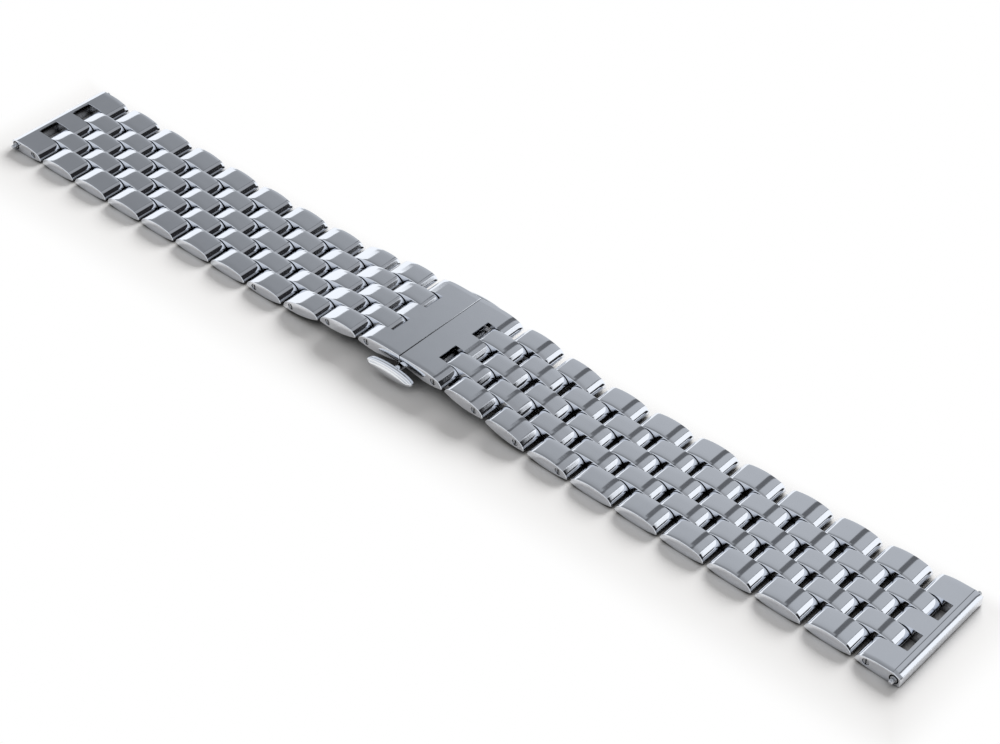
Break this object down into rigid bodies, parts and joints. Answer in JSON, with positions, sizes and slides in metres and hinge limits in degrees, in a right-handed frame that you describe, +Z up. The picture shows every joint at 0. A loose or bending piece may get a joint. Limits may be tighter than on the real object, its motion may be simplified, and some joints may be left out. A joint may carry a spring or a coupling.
{
  "type": "link watch bracelet",
  "caption": "Polished steel five-column brick link watch bracelet with E-shaped lug ends and a push-button butterfly clasp, laid out closed.",
  "frame": {"origin": "on the surface it lies on, under the clasp's parting line, midway across", "axes": "+X along the bracelet, +Y across it, +Z up from the surface"},
  "size_m": [0.1822, 0.0226, 0.0048],
  "materials": {
    "polished_links": "polished stainless steel",
    "polished_end_links": "polished stainless steel",
    "pusher_steel": "polished stainless steel",
    "clasp_steel": "satin stainless steel",
    "spring_bar_steel": "satin stainless steel",
    "spring_steel": "drawn spring wire"
  },
  "bodies": {
    "clasp_base": {"clasp_base": "clasp_steel", "lock_housing": "clasp_steel", "pusher_spring_near": "spring_steel", "pusher_spring_far": "spring_steel"},
    "folding_arm_a": {"folding_arm_a": "clasp_steel"},
    "clasp_link_a": {"clasp_link_a": "polished_end_links"},
    "double_link_a1": {"double_link_a1": "polished_links"},
    "triple_link_a1": {"triple_link_a1": "polished_links"},
    "double_link_a2": {"double_link_a2": "polished_links"},
    "triple_link_a2": {"triple_link_a2": "polished_links"},
    "double_link_a3": {"double_link_a3": "polished_links"},
    "triple_link_a3": {"triple_link_a3": "polished_links"},
    "double_link_a4": {"double_link_a4": "polished_links"},
    "triple_link_a4": {"triple_link_a4": "polished_links"},
    "double_link_a5": {"double_link_a5": "polished_links"},
    "triple_link_a5": {"triple_link_a5": "polished_links"},
    "double_link_a6": {"double_link_a6": "polished_links"},
    "triple_link_a6": {"triple_link_a6": "polished_links"},
    "double_link_a7": {"double_link_a7": "polished_links"},
    "triple_link_a7": {"triple_link_a7": "polished_links"},
    "double_link_a8": {"double_link_a8": "polished_links"},
    "triple_link_a8": {"triple_link_a8": "polished_links"},
    "double_link_a9": {"double_link_a9": "polished_links"},
    "triple_link_a9": {"triple_link_a9": "polished_links"},
    "double_link_a10": {"double_link_a10": "polished_links"},
    "end_link_a": {"end_link_a": "polished_end_links", "spring_bar_tube_a": "spring_bar_steel", "spring_bar_spring_a": "spring_steel"},
    "spring_bar_tip_near_a": {"spring_bar_tip_near_a": "spring_bar_steel"},
    "spring_bar_tip_far_a": {"spring_bar_tip_far_a": "spring_bar_steel"},
    "folding_arm_b": {"folding_arm_b": "clasp_steel"},
    "clasp_link_b": {"clasp_link_b": "polished_end_links"},
    "double_link_b1": {"double_link_b1": "polished_links"},
    "triple_link_b1": {"triple_link_b1": "polished_links"},
    "double_link_b2": {"double_link_b2": "polished_links"},
    "triple_link_b2": {"triple_link_b2": "polished_links"},
    "double_link_b3": {"double_link_b3": "polished_links"},
    "triple_link_b3": {"triple_link_b3": "polished_links"},
    "double_link_b4": {"double_link_b4": "polished_links"},
    "triple_link_b4": {"triple_link_b4": "polished_links"},
    "double_link_b5": {"double_link_b5": "polished_links"},
    "triple_link_b5": {"triple_link_b5": "polished_links"},
    "double_link_b6": {"double_link_b6": "polished_links"},
    "triple_link_b6": {"triple_link_b6": "polished_links"},
    "double_link_b7": {"double_link_b7": "polished_links"},
    "triple_link_b7": {"triple_link_b7": "polished_links"},
    "double_link_b8": {"double_link_b8": "polished_links"},
    "triple_link_b8": {"triple_link_b8": "polished_links"},
    "double_link_b9": {"double_link_b9": "polished_links"},
    "triple_link_b9": {"triple_link_b9": "polished_links"},
    "double_link_b10": {"double_link_b10": "polished_links"},
    "end_link_b": {"end_link_b": "polished_end_links", "spring_bar_tube_b": "spring_bar_steel", "spring_bar_spring_b": "spring_steel"},
    "spring_bar_tip_near_b": {"spring_bar_tip_near_b": "spring_bar_steel"},
    "spring_bar_tip_far_b": {"spring_bar_tip_far_b": "spring_bar_steel"},
    "pusher_near": {"pusher_near": "pusher_steel"},
    "pusher_far": {"pusher_far": "pusher_steel"}
  },
  "joints": [
    {"name": "arm_a_open", "type": "hinge", "parent": "clasp_base", "child": "folding_arm_a", "pos_m": [-0.0135, 0, 0.0008], "axis": [0, -1, 0], "range_deg": [0, 157.09]},
    {"name": "clasp_link_a_unfold", "type": "hinge", "parent": "folding_arm_a", "child": "clasp_link_a", "pos_m": [-0.00299, 0, 0.00293], "axis": [0, 1, 0], "range_deg": [0, 157.09]},
    {"name": "double_link_a1_flex", "type": "hinge", "parent": "clasp_link_a", "child": "double_link_a1", "pos_m": [-0.00694, 0, 0.0036], "axis": [0, 1, 0], "range_deg": [-2, 3]},
    {"name": "triple_link_a1_flex", "type": "hinge", "parent": "double_link_a1", "child": "triple_link_a1", "pos_m": [-0.01109, 0, 0.00337], "axis": [0, 1, 0], "range_deg": [-2.5, 3]},
    {"name": "double_link_a2_flex", "type": "hinge", "parent": "triple_link_a1", "child": "double_link_a2", "pos_m": [-0.01521, 0, 0.00294], "axis": [0, 1, 0], "range_deg": [-5.44, 3]},
    {"name": "triple_link_a2_flex", "type": "hinge", "parent": "double_link_a2", "child": "triple_link_a2", "pos_m": [-0.0193, 0, 0.00224], "axis": [0, 1, 0], "range_deg": [-8, 3]},
    {"name": "double_link_a3_flex", "type": "hinge", "parent": "triple_link_a2", "child": "double_link_a3", "pos_m": [-0.0234, 0, 0.00158], "axis": [0, 1, 0], "range_deg": [-8, 1.88]},
    {"name": "triple_link_a3_flex", "type": "hinge", "parent": "double_link_a3", "child": "triple_link_a3", "pos_m": [-0.02754, 0, 0.00126], "axis": [0, 1, 0], "range_deg": [-8, 3]},
    {"name": "double_link_a4_flex", "type": "hinge", "parent": "triple_link_a3", "child": "double_link_a4", "pos_m": [-0.03169, 0, 0.00111], "axis": [0, 1, 0], "range_deg": [-8, 3]},
    {"name": "triple_link_a4_flex", "type": "hinge", "parent": "double_link_a4", "child": "triple_link_a4", "pos_m": [-0.03584, 0, 0.00108], "axis": [0, 1, 0], "range_deg": [-8, 3]},
    {"name": "double_link_a5_flex", "type": "hinge", "parent": "triple_link_a4", "child": "double_link_a5", "pos_m": [-0.03999, 0, 0.00108], "axis": [0, 1, 0], "range_deg": [-8, 3]},
    {"name": "triple_link_a5_flex", "type": "hinge", "parent": "double_link_a5", "child": "triple_link_a5", "pos_m": [-0.04414, 0, 0.00108], "axis": [0, 1, 0], "range_deg": [-8, 3]},
    {"name": "double_link_a6_flex", "type": "hinge", "parent": "triple_link_a5", "child": "double_link_a6", "pos_m": [-0.04829, 0, 0.00108], "axis": [0, 1, 0], "range_deg": [-8, 3]},
    {"name": "triple_link_a6_flex", "type": "hinge", "parent": "double_link_a6", "child": "triple_link_a6", "pos_m": [-0.05244, 0, 0.00108], "axis": [0, 1, 0], "range_deg": [-8, 3]},
    {"name": "double_link_a7_flex", "type": "hinge", "parent": "triple_link_a6", "child": "double_link_a7", "pos_m": [-0.05659, 0, 0.00108], "axis": [0, 1, 0], "range_deg": [-8, 3]},
    {"name": "triple_link_a7_flex", "type": "hinge", "parent": "double_link_a7", "child": "triple_link_a7", "pos_m": [-0.06074, 0, 0.00108], "axis": [0, 1, 0], "range_deg": [-8, 3]},
    {"name": "double_link_a8_flex", "type": "hinge", "parent": "triple_link_a7", "child": "double_link_a8", "pos_m": [-0.06489, 0, 0.00108], "axis": [0, 1, 0], "range_deg": [-8, 3]},
    {"name": "triple_link_a8_flex", "type": "hinge", "parent": "double_link_a8", "child": "triple_link_a8", "pos_m": [-0.06904, 0, 0.00108], "axis": [0, 1, 0], "range_deg": [-8, 3]},
    {"name": "double_link_a9_flex", "type": "hinge", "parent": "triple_link_a8", "child": "double_link_a9", "pos_m": [-0.07319, 0, 0.00108], "axis": [0, 1, 0], "range_deg": [-8, 3]},
    {"name": "triple_link_a9_flex", "type": "hinge", "parent": "double_link_a9", "child": "triple_link_a9", "pos_m": [-0.07734, 0, 0.00108], "axis": [0, 1, 0], "range_deg": [-8, 3]},
    {"name": "double_link_a10_flex", "type": "hinge", "parent": "triple_link_a9", "child": "double_link_a10", "pos_m": [-0.08149, 0, 0.00108], "axis": [0, 1, 0], "range_deg": [-8, 3]},
    {"name": "end_link_a_flex", "type": "hinge", "parent": "double_link_a10", "child": "end_link_a", "pos_m": [-0.08564, 0, 0.00108], "axis": [0, 1, 0], "range_deg": [-8, 3]},
    {"name": "spring_bar_tip_near_a_press", "type": "slide", "parent": "end_link_a", "child": "spring_bar_tip_near_a", "axis": [0, 1, 0], "range_m": [0, 0.0009], "stiffness_N_per_m": 200, "deforming": ["spring_bar_spring_a"]},
    {"name": "spring_bar_tip_far_a_press", "type": "slide", "parent": "end_link_a", "child": "spring_bar_tip_far_a", "axis": [0, -1, 0], "range_m": [0, 0.0009], "stiffness_N_per_m": 200, "deforming": ["spring_bar_spring_a"]},
    {"name": "arm_b_open", "type": "hinge", "parent": "clasp_base", "child": "folding_arm_b", "pos_m": [0.0135, 0, 0.0008], "axis": [0, 1, 0], "range_deg": [0, 157.09]},
    {"name": "clasp_link_b_unfold", "type": "hinge", "parent": "folding_arm_b", "child": "clasp_link_b", "pos_m": [0.00299, 0, 0.00293], "axis": [0, -1, 0], "range_deg": [0, 157.09]},
    {"name": "double_link_b1_flex", "type": "hinge", "parent": "clasp_link_b", "child": "double_link_b1", "pos_m": [0.00694, 0, 0.0036], "axis": [0, -1, 0], "range_deg": [-2, 3]},
    {"name": "triple_link_b1_flex", "type": "hinge", "parent": "double_link_b1", "child": "triple_link_b1", "pos_m": [0.01109, 0, 0.00337], "axis": [0, -1, 0], "range_deg": [-2.5, 3]},
    {"name": "double_link_b2_flex", "type": "hinge", "parent": "triple_link_b1", "child": "double_link_b2", "pos_m": [0.01521, 0, 0.00294], "axis": [0, -1, 0], "range_deg": [-5.44, 3]},
    {"name": "triple_link_b2_flex", "type": "hinge", "parent": "double_link_b2", "child": "triple_link_b2", "pos_m": [0.0193, 0, 0.00224], "axis": [0, -1, 0], "range_deg": [-8, 3]},
    {"name": "double_link_b3_flex", "type": "hinge", "parent": "triple_link_b2", "child": "double_link_b3", "pos_m": [0.0234, 0, 0.00158], "axis": [0, -1, 0], "range_deg": [-8, 1.88]},
    {"name": "triple_link_b3_flex", "type": "hinge", "parent": "double_link_b3", "child": "triple_link_b3", "pos_m": [0.02754, 0, 0.00126], "axis": [0, -1, 0], "range_deg": [-8, 3]},
    {"name": "double_link_b4_flex", "type": "hinge", "parent": "triple_link_b3", "child": "double_link_b4", "pos_m": [0.03169, 0, 0.00111], "axis": [0, -1, 0], "range_deg": [-8, 3]},
    {"name": "triple_link_b4_flex", "type": "hinge", "parent": "double_link_b4", "child": "triple_link_b4", "pos_m": [0.03584, 0, 0.00108], "axis": [0, -1, 0], "range_deg": [-8, 3]},
    {"name": "double_link_b5_flex", "type": "hinge", "parent": "triple_link_b4", "child": "double_link_b5", "pos_m": [0.03999, 0, 0.00108], "axis": [0, -1, 0], "range_deg": [-8, 3]},
    {"name": "triple_link_b5_flex", "type": "hinge", "parent": "double_link_b5", "child": "triple_link_b5", "pos_m": [0.04414, 0, 0.00108], "axis": [0, -1, 0], "range_deg": [-8, 3]},
    {"name": "double_link_b6_flex", "type": "hinge", "parent": "triple_link_b5", "child": "double_link_b6", "pos_m": [0.04829, 0, 0.00108], "axis": [0, -1, 0], "range_deg": [-8, 3]},
    {"name": "triple_link_b6_flex", "type": "hinge", "parent": "double_link_b6", "child": "triple_link_b6", "pos_m": [0.05244, 0, 0.00108], "axis": [0, -1, 0], "range_deg": [-8, 3]},
    {"name": "double_link_b7_flex", "type": "hinge", "parent": "triple_link_b6", "child": "double_link_b7", "pos_m": [0.05659, 0, 0.00108], "axis": [0, -1, 0], "range_deg": [-8, 3]},
    {"name": "triple_link_b7_flex", "type": "hinge", "parent": "double_link_b7", "child": "triple_link_b7", "pos_m": [0.06074, 0, 0.00108], "axis": [0, -1, 0], "range_deg": [-8, 3]},
    {"name": "double_link_b8_flex", "type": "hinge", "parent": "triple_link_b7", "child": "double_link_b8", "pos_m": [0.06489, 0, 0.00108], "axis": [0, -1, 0], "range_deg": [-8, 3]},
    {"name": "triple_link_b8_flex", "type": "hinge", "parent": "double_link_b8", "child": "triple_link_b8", "pos_m": [0.06904, 0, 0.00108], "axis": [0, -1, 0], "range_deg": [-8, 3]},
    {"name": "double_link_b9_flex", "type": "hinge", "parent": "triple_link_b8", "child": "double_link_b9", "pos_m": [0.07319, 0, 0.00108], "axis": [0, -1, 0], "range_deg": [-8, 3]},
    {"name": "triple_link_b9_flex", "type": "hinge", "parent": "double_link_b9", "child": "triple_link_b9", "pos_m": [0.07734, 0, 0.00108], "axis": [0, -1, 0], "range_deg": [-8, 3]},
    {"name": "double_link_b10_flex", "type": "hinge", "parent": "triple_link_b9", "child": "double_link_b10", "pos_m": [0.08149, 0, 0.00108], "axis": [0, -1, 0], "range_deg": [-8, 3]},
    {"name": "end_link_b_flex", "type": "hinge", "parent": "double_link_b10", "child": "end_link_b", "pos_m": [0.08564, 0, 0.00108], "axis": [0, -1, 0], "range_deg": [-8, 3]},
    {"name": "spring_bar_tip_near_b_press", "type": "slide", "parent": "end_link_b", "child": "spring_bar_tip_near_b", "axis": [0, 1, 0], "range_m": [0, 0.0009], "stiffness_N_per_m": 200, "deforming": ["spring_bar_spring_b"]},
    {"name": "spring_bar_tip_far_b_press", "type": "slide", "parent": "end_link_b", "child": "spring_bar_tip_far_b", "axis": [0, -1, 0], "range_m": [0, 0.0009], "stiffness_N_per_m": 200, "deforming": ["spring_bar_spring_b"]},
    {"name": "pusher_near_press", "type": "slide", "parent": "clasp_base", "child": "pusher_near", "axis": [0, 1, 0], "range_m": [0, 0.0008], "stiffness_N_per_m": 600, "deforming": ["pusher_spring_near"]},
    {"name": "pusher_far_press", "type": "slide", "parent": "clasp_base", "child": "pusher_far", "axis": [0, -1, 0], "range_m": [0, 0.0008], "stiffness_N_per_m": 600, "deforming": ["pusher_spring_far"]}
  ],
  "couplings": [
    {"joint": "clasp_link_a_unfold", "follows": "arm_a_open", "ratio": 1},
    {"joint": "clasp_link_b_unfold", "follows": "arm_b_open", "ratio": 1}
  ]
}
